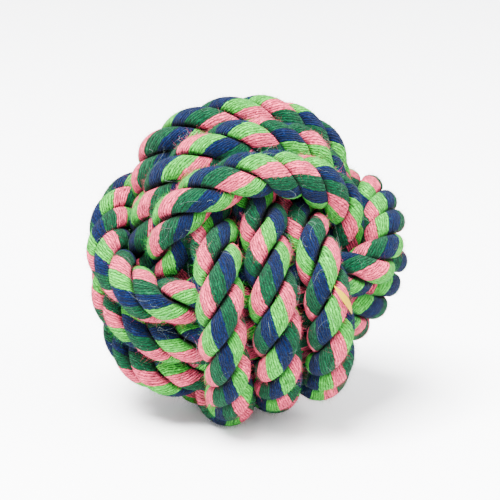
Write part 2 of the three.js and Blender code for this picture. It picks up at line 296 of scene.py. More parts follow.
def bundle_points(bundle):
    """A bundle's turns: a rounded oblong of long reach outward and short reach inward, with
    out = long * cos(angle) to the power 2 / squareness, and inn the same with the sine. Its place
    along the bundle steps over by one spacing in each turn."""
    degrees = np.arange(bundle["first"], bundle["last"] + 1.001, ANGLE_STEP, dtype=float)
    loops = smooth_step(degrees, bundle["step_over"], STEP_OVER_HALF_ANGLE)
    loops = loops + smooth_step(degrees, bundle["step_over"] + 360, STEP_OVER_HALF_ANGLE)
    loops = loops + bundle["leaving"] * smooth_step(degrees, LEAVING_ANGLE, LEAVING_HALF_ANGLE)
    place = (loops - (TURNS - 1) / 2) * bundle["spacing"] * ROPE_DIAMETER
    long_reach = np.sqrt(outer_reach**2 - OUTWARD_ROUNDING_SHARE * place**2)
    short_reach = np.sqrt(inner_reach**2 - INWARD_ROUNDING_SHARE * place**2)
    cosine, sine = np.cos(np.radians(degrees)), np.sin(np.radians(degrees))
    out = long_reach * np.sign(cosine) * np.abs(cosine) ** (2 / SQUARENESS)
    inn = short_reach * np.sign(sine) * np.abs(sine) ** (2 / SQUARENESS)
    skew = bundle["outward_skew"] * out / outer_reach + bundle["inward_skew"] * inn / inner_reach
    across = place + (bundle["shift"] + skew) * ROPE_DIAMETER
    directions = np.array([bundle["outward"], bundle["inward"], bundle["along"]], dtype=float)
    return np.stack([out, inn, across], axis=1) @ directions


def crossover(before, after):
    """The curve by which the rope leaves one bundle and starts the next. It blends both ends and a
    point ahead of each, by (1 - t) cubed, 3t * (1 - t) squared, 3t squared * (1 - t) and t cubed."""
    start_point, end_point = before[-1], after[0]
    pull = np.linalg.norm(end_point - start_point) * CROSSOVER_PULL_SHARE
    leaving = start_point - before[-2]
    joining = after[1] - end_point
    first = start_point + leaving * pull / np.linalg.norm(leaving)
    second = end_point - joining * pull / np.linalg.norm(joining)
    t = (np.arange(1, CROSSOVER_POINTS + 1) / (CROSSOVER_POINTS + 1))[:, None]
    return (
        (1 - t) ** 3 * start_point
        + 3 * (1 - t) ** 2 * t * first
        + 3 * (1 - t) * t**2 * second
        + t**3 * end_point
    )


def evenly(points, count):
    """The same polyline with count + 1 points spaced evenly along it."""
    lengths = np.concatenate([[0], np.cumsum(np.linalg.norm(np.diff(points, axis=0), axis=1))])
    targets = np.linspace(0, lengths[-1], count + 1)
    return np.stack([np.interp(targets, lengths, points[:, k]) for k in range(3)], axis=1)


def near_pairs(points):
    """Pairs of points of separate stretches that are near each other: their places, the way from
    the second to the first, and its size, in which a rise out of the ball counts for more."""
    skip = round(NEIGHBOUR_SHARE * ROPE_DIAMETER / np.linalg.norm(points[1] - points[0]))
    apart = np.linalg.norm(points[:, None] - points[None], axis=2)
    order = np.arange(len(points))
    separate = order[None] - order[:, None] > skip
    i, j = np.nonzero(separate & (apart < ROPE_DIAMETER))
    between = points[i] - points[j]
    outward = points[i] + points[j]
    outward /= np.linalg.norm(outward, axis=1)[:, None]
    rise = (between * outward).sum(axis=1)
    size = np.sqrt((between**2).sum(axis=1) + (1 / PRESSED_SHARE**2 - 1) * rise**2)
    return i, j, between, size


def part_turns(points):
    """Parts turns that are nearer than the rope's size, without sliding them along themselves."""
    i, j, between, size = near_pairs(points)
    push = (PUSH_SHARE * np.maximum(ROPE_DIAMETER - size, 0) / size)[:, None] * between
    shifts = np.zeros_like(points)
    np.add.at(shifts, i, push)
    np.add.at(shifts, j, -push)
    ways = np.empty_like(points)
    ways[1:-1] = points[2:] - points[:-2]
    ways[0], ways[-1] = points[1] - points[0], points[-1] - points[-2]
    ways /= np.linalg.norm(ways, axis=1)[:, None]
    return points + shifts - (shifts * ways).sum(axis=1)[:, None] * ways


def keep_depth(points):
    """Keeps every turn off the core and inside the ball."""
    reach = np.linalg.norm(points, axis=1)
    short = np.maximum(lowest_reach - reach, 0)
    over = np.maximum(reach - farthest_reach, 0)
    return points * (1 + (short - over * OVERSHOOT_SHARE) / reach)[:, None]


def even_bend(points):
    """Each point moved to where its bend is like that of the rope on both sides: four times the
    points a reach away on each side, less the points at twice that reach, over six."""
    near, far = STIFFEN_REACH, 2 * STIFFEN_REACH
    count = len(points)
    moved = points.copy()
    beside = points[far - near : count - far - near] + points[far + near : count - far + near]
    beyond = points[: count - 2 * far] + points[2 * far :]
    weight = STIFFEN_NEAR_WEIGHT
    moved[far : count - far] = (weight * beside - beyond) / (2 * (weight - 1))
    return moved


def settle(home):
    """Straightens the rope a little, evens out its bend, draws it home and parts crossing turns,
    again and again."""
    points = home
    for stage in range(SETTLING_STAGES):
        points = evenly(points, len(home) - 1)
        fade = 1 if stage < SETTLING_STAGES - LATE_STAGES else LATE_SHARE
        for _ in range(ROUNDS_PER_STAGE):
            middle = (points[:-2] + points[2:]) / 2
            points = points.copy()
            points[1:-1] += (middle - points[1:-1]) * STRAIGHTEN_SHARE * fade
            points += (even_bend(points) - points) * STIFFEN_SHARE * fade
            points += (home - points) * HOME_SHARE * fade
            for _ in range(PUSHES_PER_ROUND):
                points = keep_depth(part_turns(points))
    return evenly(points, len(home) - 1)


laid = [bundle_points(bundle) for bundle in BUNDLES]
laid_route = np.concatenate(
    [laid[0], crossover(laid[0], laid[1]), laid[1], crossover(laid[1], laid[2]), laid[2]]
)
route_steps = len(BUNDLES) * TURNS * STEPS_PER_LOOP * POINTS_PER_STEP
route = settle(evenly(laid_route, route_steps))

# How wide the rope can be at each point of its route: its own diameter, less where turns crowd
girths = np.full(len(route), ROPE_DIAMETER)
for place_in_pair in range(2):
    pairs = near_pairs(route)
    np.minimum.at(girths, pairs[place_in_pair], pairs[3])

# The ball lies turned about Z, then leaned about X, then rolled about Y, round the core's middle
turn, lean, roll = (math.radians(d) for d in (TURN_DEGREES, LEAN_DEGREES, ROLL_DEGREES))
turned = np.array([[math.cos(turn), -math.sin(turn), 0], [math.sin(turn), math.cos(turn), 0], [0, 0, 1]])
leaned = np.array([[1, 0, 0], [0, math.cos(lean), -math.sin(lean)], [0, math.sin(lean), math.cos(lean)]])
rolled = np.array([[math.cos(roll), 0, math.sin(roll)], [0, 1, 0], [-math.sin(roll), 0, math.cos(roll)]])
route = route @ (rolled @ leaned @ turned).T
rope_length = np.linalg.norm(np.diff(route, axis=0), axis=1).sum()


# Three strands are laid right-handed round each other along that route. Each is a bundle of soft
# yarns, six each of dark green, navy, light green and pink, twisted the other way, so that the
# yarns on the rope's outside run along it. The knot presses the strands flat against each other.

LAY_LENGTH = 0.0272  # of rope, in which a strand goes once round
# Turns of the lay at shares of the rope's length. It drifts, because the rope is stretched and
# pressed as it is wound.
LAY_MARKS = [
    (0.0000, 0.311), (0.0048, 0.605), (0.0260, 1.905), (0.0472, 3.205), (0.1271, 8.050),
    (0.1471, 9.266), (0.1671, 10.483), (0.2458, 15.089), (0.2658, 16.348), (0.2857, 17.515),
    (0.3935, 24.038), (0.4165, 25.340), (0.4395, 26.817), (0.5037, 30.976), (0.5248, 32.095),
    (0.5460, 33.476), (0.6223, 38.334), (0.6429, 39.474), (0.6635, 40.803), (0.7143, 43.995),
    (0.7240, 44.584), (0.7337, 45.172), (0.7954, 49.108), (0.8039, 49.631), (0.8124, 50.155),
    (0.8330, 50.928), (0.8439, 51.592), (0.8548, 52.239), (0.9044, 55.010), (0.9183, 55.865),
    (0.9323, 56.700), (0.9541, 57.771), (0.9716, 58.842), (0.9892, 59.950), (1.0000, 60.609),
]
# The stretches of rope that the front shows, and how far each strand's yarns are turned there
# beyond the lay, in turns
SHOWN_STRETCHES = [
    (0.0048, 0.0472), (0.1271, 0.1671), (0.2458, 0.2857), (0.3935, 0.4395), (0.5037, 0.5460),
    (0.6223, 0.6635), (0.7143, 0.7337), (0.7954, 0.8124), (0.8330, 0.8548), (0.9044, 0.9323),
    (0.9541, 0.9892),
]
YARN_OFFSETS = [
    [0.339, 0.008, -0.181, -0.357, -0.600, -0.683, -0.444, -0.140, -0.223, -0.079, -0.273],
    [0.292, 0.242, -0.197, -0.545, -0.350, -0.011, 0.181, -0.186, 0.011, -0.188, -0.164],
    [-0.239, 0.133, 0.178, 0.565, 0.384, 0.083, 0.275, -0.015, 0.120, 0.327, -0.148],
]
MARK_SMOOTHING = 0.006
STRAND_REVERSED = [False, False, True]  # whether a strand's colours follow each other the other way
STRAND_REACH_SHARE = 0.232  # from the rope's middle to a strand's
STRAND_RADIUS_SHARE = 0.274
STRAND_GAP_SHARE = 0.006
STRAND_SOFTNESS_SHARE = 0.025  # radius of the rounding where strands press flat
YARN_LAY_RATIO = 2.8  # turns of the yarns in a strand to one turn of the strands
YARNS = 24
STRAND_SIDES = 48
LUMP_SHARE = 0.06  # of a strand's reach, by which it is fuller or thinner on its outside
LUMP_LENGTH = 0.006
LUMP_LIMIT = 1.5
LUMP_SEED = 20
CREASE_SHARE = 0.38  # of the rope's diameter, the reach at which a strand comes out of its crease
CREASE_HALF_SHARE = 0.09
BISECTIONS = 40
SAMPLE_LENGTH = 0.0009  # of rope, between rings of a strand's mesh

smooth_count = int(rope_length / SAMPLE_LENGTH)
samples = np.arange(smooth_count + 1)


def smooth_curve(values, count):
    """The uniform cubic B-spline with these values as its control points, at count + 1 places."""
    padded = np.concatenate([2 * values[:1] - values[1:2], values, 2 * values[-1:] - values[-2:-1]])
    t = np.linspace(0, len(values) - 1, count + 1)
    i = np.minimum(t.astype(int), len(values) - 2)
    f = (t - i).reshape((-1,) + (1,) * (values.ndim - 1))
    a, b, c, d = padded[i], padded[i + 1], padded[i + 2], padded[i + 3]
    first, second = (1 - f) ** 3, 3 * f**3 - 6 * f**2 + 4
    third = -3 * f**3 + 3 * f**2 + 3 * f + 1
    return (first * a + second * b + third * c + f**3 * d) / 6


centre = smooth_curve(route, smooth_count)
girth = smooth_curve(girths, smooth_count)
along = np.gradient(centre, axis=0)
along /= np.linalg.norm(along, axis=1)[:, None]
outward = centre - (centre * along).sum(axis=1)[:, None] * along
outward /= np.linalg.norm(outward, axis=1)[:, None]
sideways = np.cross(along, outward)
reach = np.linalg.norm(centre, axis=1)
outness = smooth_step(reach, (inner_reach + outer_reach) / 2, (outer_reach - inner_reach) / 2)
half_width = girth / 2
half_below = girth * PRESSED_SHARE / 2
half_above = half_below * (1 - outness) + ROPE_DIAMETER / 2 * outness
lengths = np.linspace(0, rope_length, smooth_count + 1)
shares = lengths / rope_length


def marked(places, values):
    """The straight lines through the marks, averaged over a short length each way to round them."""
    reach = int(MARK_SMOOTHING / SAMPLE_LENGTH)
    values = np.interp(shares, places, values)
    slope = (values[reach] - values[0]) / reach, (values[-1] - values[-1 - reach]) / reach
    steps = np.arange(1, reach + 1)
    padded = np.concatenate([values[0] - slope[0] * steps[::-1], values, values[-1] + slope[1] * steps])
    return np.convolve(padded, np.full(2 * reach + 1, 1 / (2 * reach + 1)), "valid")


lay_turns = marked(*np.array(LAY_MARKS).T)
yarn_turns = [
    YARN_LAY_RATIO * lay_turns + marked(np.ravel(SHOWN_STRETCHES), np.repeat(offsets, 2))
    for offsets in YARN_OFFSETS
]


def pressed_outline(around):
    """A strand's reach in each direction round it, as a share of the rope's diameter. It is the
    strand's radius, or the distance to the twisted surface halfway to its neighbour if that is
    less, blended softly: minus softness * log(sum of exp(-reach / softness))."""
    climb = 2 * math.pi * STRAND_REACH_SHARE * ROPE_DIAMETER / LAY_LENGTH
    tilt = math.atan(climb)
    low, high = np.zeros_like(around), np.ones_like(around)
    for _ in range(BISECTIONS):
        middle = (low + high) / 2
        out, side = middle * np.cos(around), middle * np.abs(np.sin(around))
        angle = np.arctan2(side * math.cos(tilt), out + STRAND_REACH_SHARE)
        angle += 2 * math.pi * side * math.sin(tilt) * ROPE_DIAMETER / LAY_LENGTH
        inside = angle < math.pi / 3
        low, high = np.where(inside, middle, low), np.where(inside, high, middle)
    wall = low - STRAND_GAP_SHARE
    soft = STRAND_SOFTNESS_SHARE
    return -soft * np.log(np.exp(-wall / soft) + np.exp(-STRAND_RADIUS_SHARE / soft))


def lumps(strand):
    """How full a strand is along its length, as a smooth curve through random values."""
    random = np.random.default_rng(LUMP_SEED + strand)
    values = random.normal(size=int(rope_length / LUMP_LENGTH))
    return LUMP_SHARE * np.clip(smooth_curve(values, smooth_count), -LUMP_LIMIT, LUMP_LIMIT)


def strand_rings(strand, around):
    """Rings of a strand, and the directions out of it. Its middle goes round the rope's middle on the
    rope's oval, and each ring is square to the strand's own path."""
    angle = -2 * math.pi * (lay_turns + strand / 3)
    high = np.where(np.sin(angle) > 0, half_above, half_below) / (ROPE_DIAMETER / 2)
    wide = half_width / (ROPE_DIAMETER / 2)
    spoke = wide[:, None] * np.cos(angle)[:, None] * sideways
    spoke = spoke + high[:, None] * np.sin(angle)[:, None] * outward
    middle = centre + spoke * ROPE_DIAMETER * STRAND_REACH_SHARE
    way = np.gradient(middle, axis=0)
    way /= np.linalg.norm(way, axis=1)[:, None]
    up = spoke - (spoke * way).sum(axis=1)[:, None] * way
    up /= np.linalg.norm(up, axis=1)[:, None]
    side = np.cross(way, up)
    facing = np.cos(around)[None, :, None]
    normal = facing * up[:, None] + np.sin(around)[None, :, None] * side[:, None]
    size = np.linalg.norm(spoke, axis=1)[:, None, None]
    radius = size * ROPE_DIAMETER * pressed_outline(around)[None, :, None]
    radius = radius * (1 + lumps(strand)[:, None, None] * np.maximum(facing, 0))
    return middle[:, None] + normal * radius, normal


def yarn_place(strand, row, column):
    """Where a place of a strand's surface lies: across is counted in yarns, along in metres. The
    yarns turn back round the strand as it goes forward, so lines of equal across are slanted."""
    across = column / STRAND_SIDES + np.interp(row, samples, yarn_turns[strand])
    across = (-across if STRAND_REVERSED[strand] else across) * YARNS
    return np.stack([across, np.interp(row, samples, lengths)], axis=-1)


DARK_GREEN = (0.0002, 0.0235, 0.0085, 1)
NAVY = (0.0001, 0.0026, 0.0182, 1)
LIGHT_GREEN = (0.0205, 0.174, 0.0152, 1)
PINK = (0.322, 0.0315, 0.0635, 1)
PALE_HAIR = (0.06, 0.085, 0.07, 1)
COLOURS = 4
WANDER_WIDTH = 2.2  # in yarns, by which the yarns stray from their lines
RAGGED_WIDTH = 1.3  # in yarns, by which their edges are ragged
PLIES_PER_METRE = 900.0
# How fine each noise is: its patches in a yarn's width, and in a metre along it
WANDER_GRAIN = (0.3, 220.0)
RAGGED_GRAIN = (1.6, 2200.0)
FELT_GRAIN = (1.4, 2000.0)
TONE_GRAIN = (1.7, 60.0)
HAIR_GRAIN = (0.75, 1000.0)
FIBRE_SLANT = 1500.0
FIBRE_GRAIN = (2.2, 500.0)
FIBRE_STEP = 3.7  # from one yarn's pattern of fibres to the next one's
MIDDLE_RANGE = (0.3, 0.7)  # the part of a noise that is spread over the whole range
TUFT_RANGE = (0.55, 0.75)
HAIR_WIDTHS = (0.035, 0.04)
HAIR_BREAKS = ((0.42, 0.52), (0.46, 0.56))
GROOVE_DEPTH = 0.9  # how much of a yarn's roundness counts as its groove
# Painted shade: the darkest tone drawn in a yarn's groove, and in a strand's crease
GROOVE_TONE = 0.2
CREASE_TONE = 0.18
LEAST_LIGHT = 0.1
# Painted highlight: how much lighter the ply crowns are drawn
PLY_LIGHT = 0.2
FIBRE_LIGHT = 0.6
YARN_LIGHT = 0.3
TUFT_LIGHT = 0.8
HAIR_LIGHT = 1.2
TUFT_PALENESS = 0.02
HAIR_PALENESS = 0.05
YARN_HEIGHT = 0.0004
PLY_HEIGHT = 0.0001
FIBRE_HEIGHT = 0.0002
FELT_HEIGHT = 0.0002
COTTON_SHEEN = 0.02


def yarn_wires(start):
    """The wires of a strand's UV places: across, counted in yarns, and length, in metres."""
    uv = start.node("ShaderNodeUVMap", {"uv_map": "yarn"})
    return [start.node("ShaderNodeSeparateXYZ", {}, {0: uv}, part) for part in range(2)]


def grained(start, across, length, grain, layer=0.0, scale=1.0, detail=2.0, roughness=0.5):
    """Noise drawn out along the yarns. Each layer has a pattern of its own."""
    place = start.vector(across * grain[0], length * grain[1], layer)
    return start.noise(place, scale, detail, roughness)


def yarn_colours(start, across):
    """The colour of the yarn that a place lies on: four groups of neighbouring yarns round a strand."""
    number = (across / YARNS).rest() * COLOURS
    colour = (number > 3.0).blend(LIGHT_GREEN, PINK)
    colour = (number < 2.0).blend(colour, NAVY)
    return (number < 1.0).blend(colour, DARK_GREEN)


cotton, start = new_material("dyed_cotton_yarn")
across, length = yarn_wires(start)
wander = grained(start, across, length, WANDER_GRAIN) - 0.5
ragged = grained(start, across, length, RAGGED_GRAIN, 7.0, detail=3.0, roughness=0.6) - 0.5
across = across + wander * WANDER_WIDTH + ragged * RAGGED_WIDTH
yarn_number = across.whole()
in_yarn = across.rest() - 0.5
crown = 1 - 4 * in_yarn * in_yarn
ply = (across + length * PLIES_PER_METRE).rest() - 0.5
ply_crown = 1 - 4 * ply * ply
fibre_across = across * FIBRE_GRAIN[0] + length * FIBRE_SLANT
fibre_place = start.vector(fibre_across, length * FIBRE_GRAIN[1], yarn_number * FIBRE_STEP)
fibres = start.noise(fibre_place, 1.0, 3.0, 0.6)
felt = grained(start, across, length, FELT_GRAIN, 3.0, detail=3.0, roughness=0.75)
yarn_tone = grained(start, yarn_number, length, TONE_GRAIN)
# Hairs lie over the yarns every way: thin contour lines of two noises, broken up by a third
first_noise = grained(start, across, length, HAIR_GRAIN, 0.0, 0.9, 1.0)
second_noise = grained(start, across, length, HAIR_GRAIN, 40.0, 1.3, 1.0)
broken = grained(start, across, length, HAIR_GRAIN, 0.0, 1.6, 1.0)
first_hairs = 1 - start.math("ABSOLUTE", first_noise - 0.5).within(0.0, HAIR_WIDTHS[0])
second_hairs = 1 - start.math("ABSOLUTE", second_noise - 0.5).within(0.0, HAIR_WIDTHS[1])
hairs = first_hairs * broken.within(*HAIR_BREAKS[0])
hairs = hairs + second_hairs * (1 - broken.within(*HAIR_BREAKS[1]))
base = yarn_colours(start, across)
groove = crown.within(0.0, GROOVE_DEPTH)
tufts = fibres.within(*TUFT_RANGE) * (0.5 + 0.5 * groove)
openness = start.node("ShaderNodeAttribute", {"attribute_name": "openness"}, None, "Fac")
# The felted fibres, plies, tufts and hairs catch the light, less in grooves and least in creases.
# The lighter ply crowns are painted highlight, and the darker grooves and creases are painted shade
light = LEAST_LIGHT + PLY_LIGHT * ply_crown + felt.within(*MIDDLE_RANGE)
light = light + FIBRE_LIGHT * fibres.within(*MIDDLE_RANGE)
light = light + YARN_LIGHT * yarn_tone.within(*MIDDLE_RANGE)
light = light + TUFT_LIGHT * tufts + HAIR_LIGHT * hairs
# Painted shade: the colour is darkened in the grooves between yarns
painted_groove_shade = GROOVE_TONE + (1 - GROOVE_TONE) * groove
# Painted shade: the colour is darkened in the creases between strands
painted_crease_shade = CREASE_TONE + (1 - CREASE_TONE) * openness
tone = painted_groove_shade * light * painted_crease_shade
shade = start.vector(tone, tone, tone)
multiply = {"data_type": "RGBA", "blend_type": "MULTIPLY"}
shaded = start.node("ShaderNodeMix", multiply, {0: 1.0, 6: base, 7: shade}, 2)
# Pale tufts and hairs fade out in the painted crease shade
paleness = (TUFT_PALENESS * tufts + HAIR_PALENESS * hairs) * openness
cotton_colour = paleness.blend(shaded, PALE_HAIR)
height = crown * YARN_HEIGHT + ply_crown * PLY_HEIGHT + fibres * FIBRE_HEIGHT + felt * FELT_HEIGHT
finish_material(start, cotton_colour, 0.95 - 0.1 * fibres, height, 1.0, COTTON_SHEEN)


def resting(points):
    """The points, with those below the floor drawn up to it: the rope is pressed flat there."""
    return np.concatenate([points[..., :2], np.maximum(points[..., 2:], 0.0)], axis=-1)


def end_caps(rows, sides):
    """The flat faces that close both ends of a tube whose rings have this many sides."""
    ring = np.arange(sides)
    return [ring[::-1], (rows - 1) * sides + ring]


strand_around = np.linspace(0, 2 * math.pi, STRAND_SIDES, endpoint=False)
rings = [strand_rings(strand, strand_around) for strand in range(3)]
row, column = np.meshgrid(samples[:-1], np.arange(STRAND_SIDES), indexing="ij")
face_rows = np.stack([row, row, row + 1, row + 1], axis=2).ravel()
face_columns = np.stack([column, column + 1, column + 1, column], axis=2).ravel()
ring = np.arange(STRAND_SIDES)
for strand in range(3):
    points = resting(rings[strand][0] + core_middle)
    faces = grid_faces(smooth_count + 1, STRAND_SIDES, True)
    caps = end_caps(smooth_count + 1, STRAND_SIDES)
    side_uv = yarn_place(strand, face_rows, face_columns)
    cap_uv = [yarn_place(strand, 0 * ring, ring[::-1]), yarn_place(strand, 0 * ring + smooth_count, ring)]
    uv = np.concatenate([side_uv, *cap_uv])
    # Openness drives the painted crease shade: near 0 where a strand goes down into its crease, 1 outside
    away = np.linalg.norm(rings[strand][0] - centre[:, None], axis=2) / ROPE_DIAMETER
    openness = smooth_step(away, CREASE_SHARE, CREASE_HALF_SHARE)
    made = add_mesh(f"strand_{strand + 1}", points, faces, uv, caps, openness)
    made.data.materials.append(cotton)
    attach(made, "root")
    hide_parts("wound_rope")


# Short fibres stand out of the cotton all over, dyed like the yarn that they come from. They are
# narrow ribbons of two quads, bent once.

FUZZ_COUNT = 48000  # on each strand
FUZZ_LENGTH = 0.0011
FUZZ_LENGTH_SPREAD = (-0.15, 0.45)  # middle and spread of the logarithm of a fibre's length
FUZZ_WIDTH = 0.000028
FUZZ_WIDTH_RANGE = (0.6, 1.3)
FUZZ_STEPS = 3
FUZZ_FACING = 0.32  # how much of a place's direction out of the strand has to point out of the ball
FUZZ_RISE = (0.05, 0.6)
FUZZ_SCATTER = 0.55
FUZZ_BEND = 0.4
FUZZ_DROOP = 0.2
FUZZ_SEED = 5
FUZZ_GRAIN = (7.3, 3000.0)
FUZZ_PALE = (0.02, 0.055, 0.055, 1)
FUZZ_PALENESS = 0.3
SHOWN_REACH = 0.024  # fibres nearer the ball's middle can't be seen
SHOWN_SHARE = 0.45  # of the rope's diameter: nearer the rope's middle they would fill a crease
RIBBON_TWIST = 0.001
RIBBON_TIP_SHARE = 0.1
RIBBON_HEIGHT = 0.00001
RIBBON_BUMP = 0.2


def exposed_places(strand, count, facing, random):
    """Places on a strand at random, where it shows: their points, directions out, and UV."""
    points, normal = rings[strand]
    reach = np.linalg.norm(points, axis=2)
    lean = (normal * points).sum(axis=2) / reach
    beyond = np.linalg.norm(points - centre[:, None], axis=2) > SHOWN_SHARE * ROPE_DIAMETER
    rows, columns = np.nonzero((reach > SHOWN_REACH) & (lean > facing) & beyond)
    chosen = random.integers(len(rows), size=count)
    row, column = np.minimum(rows[chosen], smooth_count - 1), columns[chosen]
    share = random.random((2, count))
    along_step = points[row + 1, column] - points[row, column]
    round_step = points[row, (column + 1) % STRAND_SIDES] - points[row, column]
    root = points[row, column] + share[0][:, None] * along_step + share[1][:, None] * round_step
    return root, normal[row, column], yarn_place(strand, row + share[0], column + share[1])


def add_fibres(name, root, paths, widths, uv, material):
    """Ribbons along these paths, as one piece. A ribbon is as wide as its width at the root, and
    narrows with the square of the way along it, to a tenth of that at the tip."""
    count, steps = paths.shape[:2]
    way = np.gradient(paths, axis=1)
    flat = np.cross(way, root[:, None] + RIBBON_TWIST * way[:, ::-1])
    flat /= np.maximum(np.linalg.norm(flat, axis=2), 1e-9)[..., None]
    taper = 1 - (1 - RIBBON_TIP_SHARE) * np.linspace(0, 1, steps) ** 2
    half_widths = taper[None, :, None] * widths[:, None, None] / 2
    points = np.stack([paths - flat * half_widths, paths + flat * half_widths], axis=2)
    strip = grid_faces(steps, 2, False)
    faces = (np.arange(count)[:, None, None] * steps * 2 + strip[None]).reshape(-1, 4)
    corner_uv = np.repeat(uv, len(strip) * 4, axis=0)
    made = add_mesh(name, resting(points + core_middle), faces, corner_uv)
    made.data.materials.append(material)
    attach(made, "root")


fuzz, start = new_material("cotton_fuzz")
across, length = yarn_wires(start)
variety = grained(start, across, length, FUZZ_GRAIN)
fuzz_colour = (FUZZ_PALENESS * variety).blend(yarn_colours(start, across), FUZZ_PALE)
finish_material(start, fuzz_colour, 0.95 - 0.1 * variety, variety * RIBBON_HEIGHT, RIBBON_BUMP)

random = np.random.default_rng(FUZZ_SEED)
for strand in range(3):
    root, out, uv = exposed_places(strand, FUZZ_COUNT, FUZZ_FACING, random)
    aim = out * random.uniform(*FUZZ_RISE, (FUZZ_COUNT, 1))
    aim = aim + random.normal(size=(FUZZ_COUNT, 3)) * FUZZ_SCATTER
    aim /= np.linalg.norm(aim, axis=1)[:, None]
    bend = random.normal(size=(FUZZ_COUNT, 3)) * FUZZ_BEND - FUZZ_DROOP * out
    reach_out = FUZZ_LENGTH * random.lognormal(*FUZZ_LENGTH_SPREAD, (FUZZ_COUNT, 1))
    t = np.linspace(0, 1, FUZZ_STEPS)[None, :, None]
    paths = root[:, None] + reach_out[:, None] * (t * aim[:, None] + t**2 * bend[:, None])
    widths = FUZZ_WIDTH * random.uniform(*FUZZ_WIDTH_RANGE, FUZZ_COUNT)
    add_fibres(f"strand_{strand + 1}_fuzz", root, paths, widths, uv, fuzz)


# A few long pale cotton fibres have worked loose where the rope was rubbed and handled. Each is
# still held in the yarn at one end, and lies over the turns in a curl.

LOOSE_COUNT = 200  # on each strand
LOOSE_LENGTH = 0.006
LOOSE_LENGTH_SPREAD = (-0.1, 0.45)
LOOSE_WIDTH = 0.000035
LOOSE_WIDTH_RANGE = (0.6, 1.2)
LOOSE_STEPS = 14
LOOSE_FACING = 0.1
LOOSE_CURL = 3.0  # radians in all, the spread of it
LEAST_CURL = 0.1
LOOSE_LIFT = 0.1  # of its length, by which it arches at most
LOOSE_LIFT_RANGE = (0.2, 1)
LOOSE_SINK = 0.0003  # nearer the ball's middle than its root, at most
LOOSE_RISE = 0.0012  # further out than its root, at most
LOOSE_CLEARANCE = 0.0002
LOOSE_PATCHES_PER_METRE = 700.0
LOOSE_DARK = (0.05, 0.09, 0.08, 1)
LOOSE_PALE = (0.16, 0.19, 0.17, 1)

loose, start = new_material("loose_pale_fibre")
place = start.node("ShaderNodeTexCoord", output=3)
variety = start.noise(place, LOOSE_PATCHES_PER_METRE)
loose_colour = variety.blend(LOOSE_DARK, LOOSE_PALE)
finish_material(start, loose_colour, 0.7 + 0.2 * variety, variety * RIBBON_HEIGHT, RIBBON_BUMP)
for strand in range(3):
    root, out, uv = exposed_places(strand, LOOSE_COUNT, LOOSE_FACING, random)
    first = np.cross(out, random.normal(size=(LOOSE_COUNT, 3)))
    first /= np.linalg.norm(first, axis=1)[:, None]
    second = np.cross(out, first)
    reach_out = LOOSE_LENGTH * random.lognormal(*LOOSE_LENGTH_SPREAD, (LOOSE_COUNT, 1, 1))
    curl = random.normal(size=(LOOSE_COUNT, 1, 1)) * LOOSE_CURL
    t = np.linspace(0, 1, LOOSE_STEPS)[None, :, None]
    # An arc of constant curl: sine of curl * t forward, and one minus its cosine to the side
    turned_by = np.where(np.abs(curl) < LEAST_CURL, LEAST_CURL, curl)
    forward = np.sin(turned_by * t) / turned_by
    aside = (1 - np.cos(turned_by * t)) / turned_by
    lift = LOOSE_LIFT * np.sin(math.pi * t) * random.uniform(*LOOSE_LIFT_RANGE, (LOOSE_COUNT, 1, 1))
    arc = forward * first[:, None] + aside * second[:, None] + lift * out[:, None]
    paths = root[:, None] + reach_out * arc
    # It follows the ball's roundness, and comes clear of the strand right after its root
    away = np.linalg.norm(paths, axis=2)[..., None]
    root_away = np.linalg.norm(root, axis=1)[:, None, None]
    kept = np.clip(away, root_away - LOOSE_SINK, root_away + LOOSE_RISE)
    paths = paths * (1 + (kept - away) / away)
    paths = paths + LOOSE_CLEARANCE * out[:, None] * (t > 0)
    widths = LOOSE_WIDTH * random.uniform(*LOOSE_WIDTH_RANGE, LOOSE_COUNT)
    add_fibres(f"strand_{strand + 1}_loose_fibres", root, paths, widths, uv, loose)


# Both cut ends of the rope are dipped in adhesive before the winding, so that the strands can't
# open. Each seal is a dull lumpy cap round the strands, tucked inside the ball.

SEAL_LENGTH = 0.004
SEAL_ROWS = 25
SEAL_SIDES = 48
SEAL_LOBE_SHARE = 0.03
SEAL_FACE_FROM = 0.6  # share of the seal's length from which it rounds off to its face
SEAL_ROOT_TO = 0.25  # share of its length over which it swells from the bare rope
SEAL_LUMPS_PER_METRE = 900.0
SEAL_STAINS_PER_METRE = 300.0
SEAL_LUMP_HEIGHT = 0.0003
SEAL_BUMP = 0.8
SEAL_DARK = (0.11, 0.1, 0.08, 1)
SEAL_LIGHT = (0.18, 0.17, 0.14, 1)

seal_material, start = new_material("set_adhesive")
place = start.node("ShaderNodeTexCoord", output=3)
blobs = start.noise(place, SEAL_LUMPS_PER_METRE, 3.0)
stains = start.noise(place, SEAL_STAINS_PER_METRE)
seal_colour = stains.blend(SEAL_DARK, SEAL_LIGHT)
finish_material(start, seal_colour, 0.45 + 0.25 * blobs, blobs * SEAL_LUMP_HEIGHT, SEAL_BUMP)


def rope_at(where):
    """The rope's middle, its way to the side and its way out of the ball, at these sample numbers."""
    return [
        np.stack([np.interp(where, samples, values[:, k]) for k in range(3)], axis=1)
        for values in (centre, sideways, outward)
    ]


